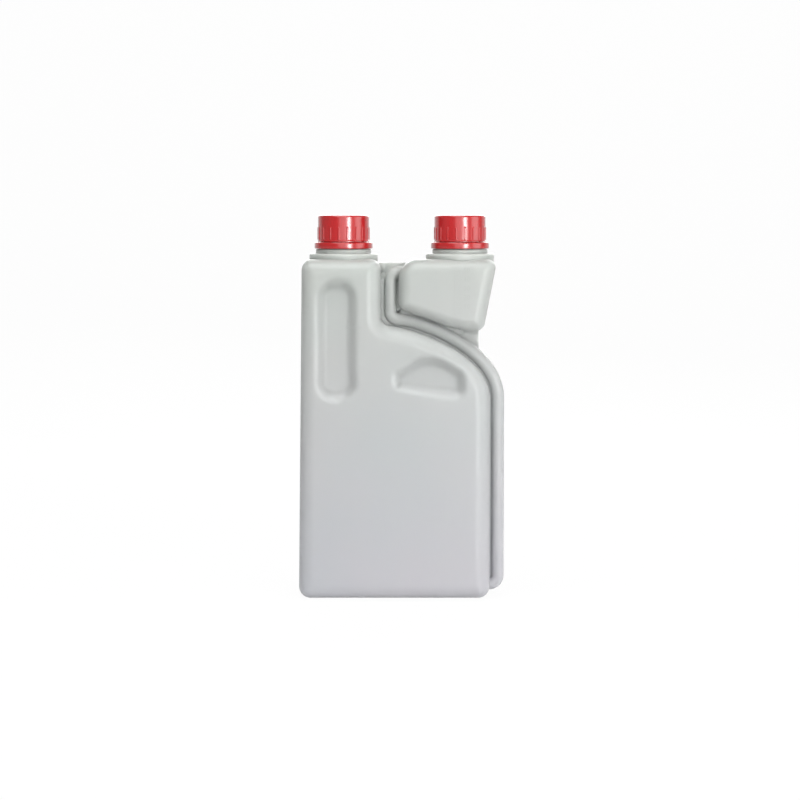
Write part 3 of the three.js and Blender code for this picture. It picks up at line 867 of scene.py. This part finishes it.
def naturalMaterial(name, subsurface, transmission):
    material, nodes, links, shader = newMaterial(name)
    grain = addGrain(nodes, links, shader, naturalPlastic["patchScale"], 900,
                     naturalPlastic["grain"], 0.00006)
    # Painted shade: the colour goes from a lighter lilac at the foot to a darker green at the shoulders, by
    # height alone
    colour = blend(nodes, links, grain.outputs["Painted Shade Height"], naturalPlastic["low"], naturalPlastic["high"])
    cloud = nodes.new("ShaderNodeMix")
    cloud.data_type = "RGBA"
    cloud.blend_type = "MULTIPLY"
    cloud.inputs["Factor"].default_value = 1
    tint = blend(nodes, links, grain.outputs["Cloud"],
                 naturalPlastic["patchGreen"], naturalPlastic["patchPink"])
    links.new(colour, cloud.inputs["A"])
    links.new(tint, cloud.inputs["B"])
    links.new(cloud.outputs["Result"], shader.inputs["Base Color"])
    varyRoughness(nodes, links, shader, grain.outputs["Cloud"], *naturalPlastic["roughness"])
    shader.inputs["Subsurface Weight"].default_value = subsurface
    shader.inputs["Subsurface Radius"].default_value = (1.0, 1.0, 1.0)
    shader.inputs["Subsurface Scale"].default_value = naturalPlastic["radius"]
    shader.inputs["Transmission Weight"].default_value = transmission
    shader.inputs["IOR"].default_value = naturalPlastic["ior"]
    return material


# Cap plastic: glossy red, with the faintest mould grain
capPlastic = {
    "dark": (0.325, 0.006, 0.008), "light": (0.355, 0.008, 0.009), "roughness": (0.21, 0.29), "ior": 1.5,
    "coat": 0.4, "coatRoughness": 0.18, "coatIor": 1.6, "grain": 0.12,
}


def capMaterial():
    material, nodes, links, shader = newMaterial("capPlastic")
    grain = addGrain(nodes, links, shader, 60, 1400, capPlastic["grain"], 0.00004)
    colour = blend(nodes, links, grain.outputs["Cloud"], capPlastic["dark"], capPlastic["light"])
    links.new(colour, shader.inputs["Base Color"])
    varyRoughness(nodes, links, shader, grain.outputs["Cloud"], *capPlastic["roughness"])
    shader.inputs["IOR"].default_value = capPlastic["ior"]
    shader.inputs["Coat Weight"].default_value = capPlastic["coat"]
    shader.inputs["Coat Roughness"].default_value = capPlastic["coatRoughness"]
    shader.inputs["Coat IOR"].default_value = capPlastic["coatIor"]
    return material


# Liner foam: matt white with open pores
linerFoam = {"pore": (0.72, 0.71, 0.67), "wall": (0.86, 0.86, 0.83), "roughness": 0.8, "grain": 0.6}


def foamMaterial():
    material, nodes, links, shader = newMaterial("linerFoam")
    grain = addGrain(nodes, links, shader, 120, 2600, linerFoam["grain"], 0.0002)
    colour = blend(nodes, links, grain.outputs["Height"], linerFoam["pore"], linerFoam["wall"])
    links.new(colour, shader.inputs["Base Color"])
    shader.inputs["Roughness"].default_value = linerFoam["roughness"]
    return material


# The raised marks are too thin for light to spread inside them, so theirs is the plain plastic
natural = naturalMaterial("naturalPlastic", naturalPlastic["subsurface"], naturalPlastic["transmission"])
raised = naturalMaterial("raisedMarks", 0.0, 0.0)
capRed, foam = capMaterial(), foamMaterial()


def dress(piece, bodyName, node, material):
    piece.data.materials.clear()
    piece.data.materials.append(material)
    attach(piece, bodyName)
    if node:
        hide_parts(node)


dress(bottle, "bottle", "bottle_body", natural)
dress(marks, "bottle", None, raised)
for place in closures:
    dress(pieces[place + "Cap"], place + "_closure", place + "_cap", capRed)
    dress(pieces[place + "Liner"], place + "_seal", place + "_cap_liner", foam)
    dress(pieces[place + "Ring"], "bottle", place + "_tamper_ring", capRed)
print("materials set")

# Floor, backdrop and light: a pale sweep that reads white to the camera, gloss and glass
studio = {"floorColour": 0.8, "skyStrength": 0.30, "whiteStrength": 1.0, "whiteShare": 0.955,
          "halfWidth": 3.0, "floorFront": -1.6, "bendStart": 1.1, "bendRadius": 0.5, "wallTop": 3.2}

# Area lamps: place and target in metres, size in metres, power in watts
lamps = {
    "frontStrip": {"place": (0.53, -1.19, 0.16), "target": (0, 0, 0.16), "size": (0.3, 0.5), "watts": 12},
    "rightSoft": {"place": (1.3, -0.45, 0.35), "target": (0, 0, 0.14), "size": (0.9, 0.9), "watts": 7},
    "topSoft": {"place": (-0.15, -0.45, 1.2), "target": (0, 0, 0.1), "size": (1.0, 0.8), "watts": 13},
    "frontSoft": {"place": (-0.1, -2.3, 0.4), "target": (0, 0, 0.12), "size": (1.5, 1.5), "watts": 13},
    "backGlow": {"place": (0.1, 1.15, 0.62), "target": (0, 0, 0.12), "size": (1.1, 0.7), "watts": 8},
}


def largerOf(nodes, links, one, other):
    larger = nodes.new("ShaderNodeMath")
    larger.operation = "MAXIMUM"
    links.new(one, larger.inputs[0])
    links.new(other, larger.inputs[1])
    return larger.outputs[0]


# The sweep: flat floor, a quarter circle, then an upright wall, carried straight along X.
def paleSweep():
    angle = np.linspace(0, math.pi / 2, 24)
    start, radius = studio["bendStart"], studio["bendRadius"]
    profile = np.concatenate([
        [[studio["floorFront"], 0]],
        np.stack([start + radius * np.sin(angle), radius - radius * np.cos(angle)], 1),
        [[start + radius, studio["wallTop"]]],
    ])
    x = np.array([-studio["halfWidth"], studio["halfWidth"]])
    points = np.stack([
        np.repeat(x[:, None], len(profile), 1),
        np.repeat(profile[None, :, 0], 2, 0),
        np.repeat(profile[None, :, 1], 2, 0),
    ], -1).reshape(-1, 3) / mm
    points[:, 2] -= 0.3
    floor = meshPiece("paleSweep", points, gridFaces(np.arange(len(points)).reshape(2, -1)))
    floor.data.polygons.foreach_set("use_smooth", np.ones(len(floor.data.polygons), bool))
    material, nodes, links, shader = newMaterial("palePaper")
    paper = nodes.new("ShaderNodeTexNoise")
    paper.inputs["Scale"].default_value = 900
    bump = nodes.new("ShaderNodeBump")
    bump.inputs["Strength"].default_value = 0.03
    links.new(paper.outputs["Fac"], bump.inputs["Height"])
    links.new(bump.outputs["Normal"], shader.inputs["Normal"])
    shader.inputs["Base Color"].default_value = (*(studio["floorColour"],) * 3, 1)
    shader.inputs["Roughness"].default_value = 0.9
    glow = nodes.new("ShaderNodeEmission")
    glow.inputs["Strength"].default_value = studio["whiteStrength"]
    path = nodes.new("ShaderNodeLightPath")
    seen = largerOf(nodes, links, path.outputs["Is Camera Ray"], path.outputs["Is Glossy Ray"])
    seen = largerOf(nodes, links, seen, path.outputs["Is Transmission Ray"])
    share = nodes.new("ShaderNodeMath")
    share.operation = "MULTIPLY"
    share.inputs[1].default_value = studio["whiteShare"]
    links.new(seen, share.inputs[0])
    mix = nodes.new("ShaderNodeMixShader")
    links.new(share.outputs[0], mix.inputs["Fac"])
    links.new(shader.outputs["BSDF"], mix.inputs[1])
    links.new(glow.outputs["Emission"], mix.inputs[2])
    links.new(mix.outputs["Shader"], nodes["Material Output"].inputs["Surface"])
    floor.data.materials.append(material)


def areaLamp(name, place, target, size, watts):
    light = bpy.data.lights.new(name, "AREA")
    light.shape = "RECTANGLE"
    light.size, light.size_y = size
    light.energy = watts
    lamp = addObject(name, light)
    lamp.location = place
    lamp.rotation_euler = (Vector(target) - Vector(place)).to_track_quat("-Z", "Y").to_euler()


def paleWorld():
    world = bpy.data.worlds.new("paleWorld")
    world.use_nodes = True
    bpy.context.scene.world = world
    nodes, links = world.node_tree.nodes, world.node_tree.links
    background = nodes["Background"]
    background.inputs["Color"].default_value = (1, 1, 1, 1)
    path = nodes.new("ShaderNodeLightPath")
    level = nodes.new("ShaderNodeMapRange")
    level.inputs["To Min"].default_value = studio["skyStrength"]
    level.inputs["To Max"].default_value = studio["whiteStrength"]
    links.new(path.outputs["Is Camera Ray"], level.inputs["Value"])
    links.new(level.outputs["Result"], background.inputs["Strength"])


# The camera: the photo's frame is 800 pixels square with 0.615 mm to the pixel at the bottle, and the
# middle of the bottle's base is at a pixel counted from the top left
view = {"distance": 1.75, "elevation": 4.0, "frame": 800, "pixel": 0.615, "photoBase": (401.5, 594.0),
        "sensor": 36}


def photoCamera():
    cam = bpy.data.cameras.new("photoCamera")
    camera = addObject("photoCamera", cam)
    bpy.context.scene.camera = camera
    span = view["pixel"] * view["frame"] * mm
    cam.sensor_width = view["sensor"]
    cam.lens = view["sensor"] * view["distance"] / span
    tilt = math.radians(view["elevation"])
    half = view["frame"] / 2
    middleX = (half - view["photoBase"][0]) * view["pixel"] * mm
    middleZ = (view["photoBase"][1] - half) * view["pixel"] * mm / math.cos(tilt)
    target = Vector((middleX, 0, middleZ))
    camera.location = target + view["distance"] * Vector((0, -math.cos(tilt), math.sin(tilt)))
    camera.rotation_euler = (target - camera.location).to_track_quat("-Z", "Y").to_euler()
    cam.clip_start, cam.clip_end = 0.05, 20


paleSweep()
paleWorld()
for name, lamp in lamps.items():
    areaLamp(name, **lamp)
photoCamera()
bpy.context.scene.view_settings.view_transform = "Standard"
print("studio set")
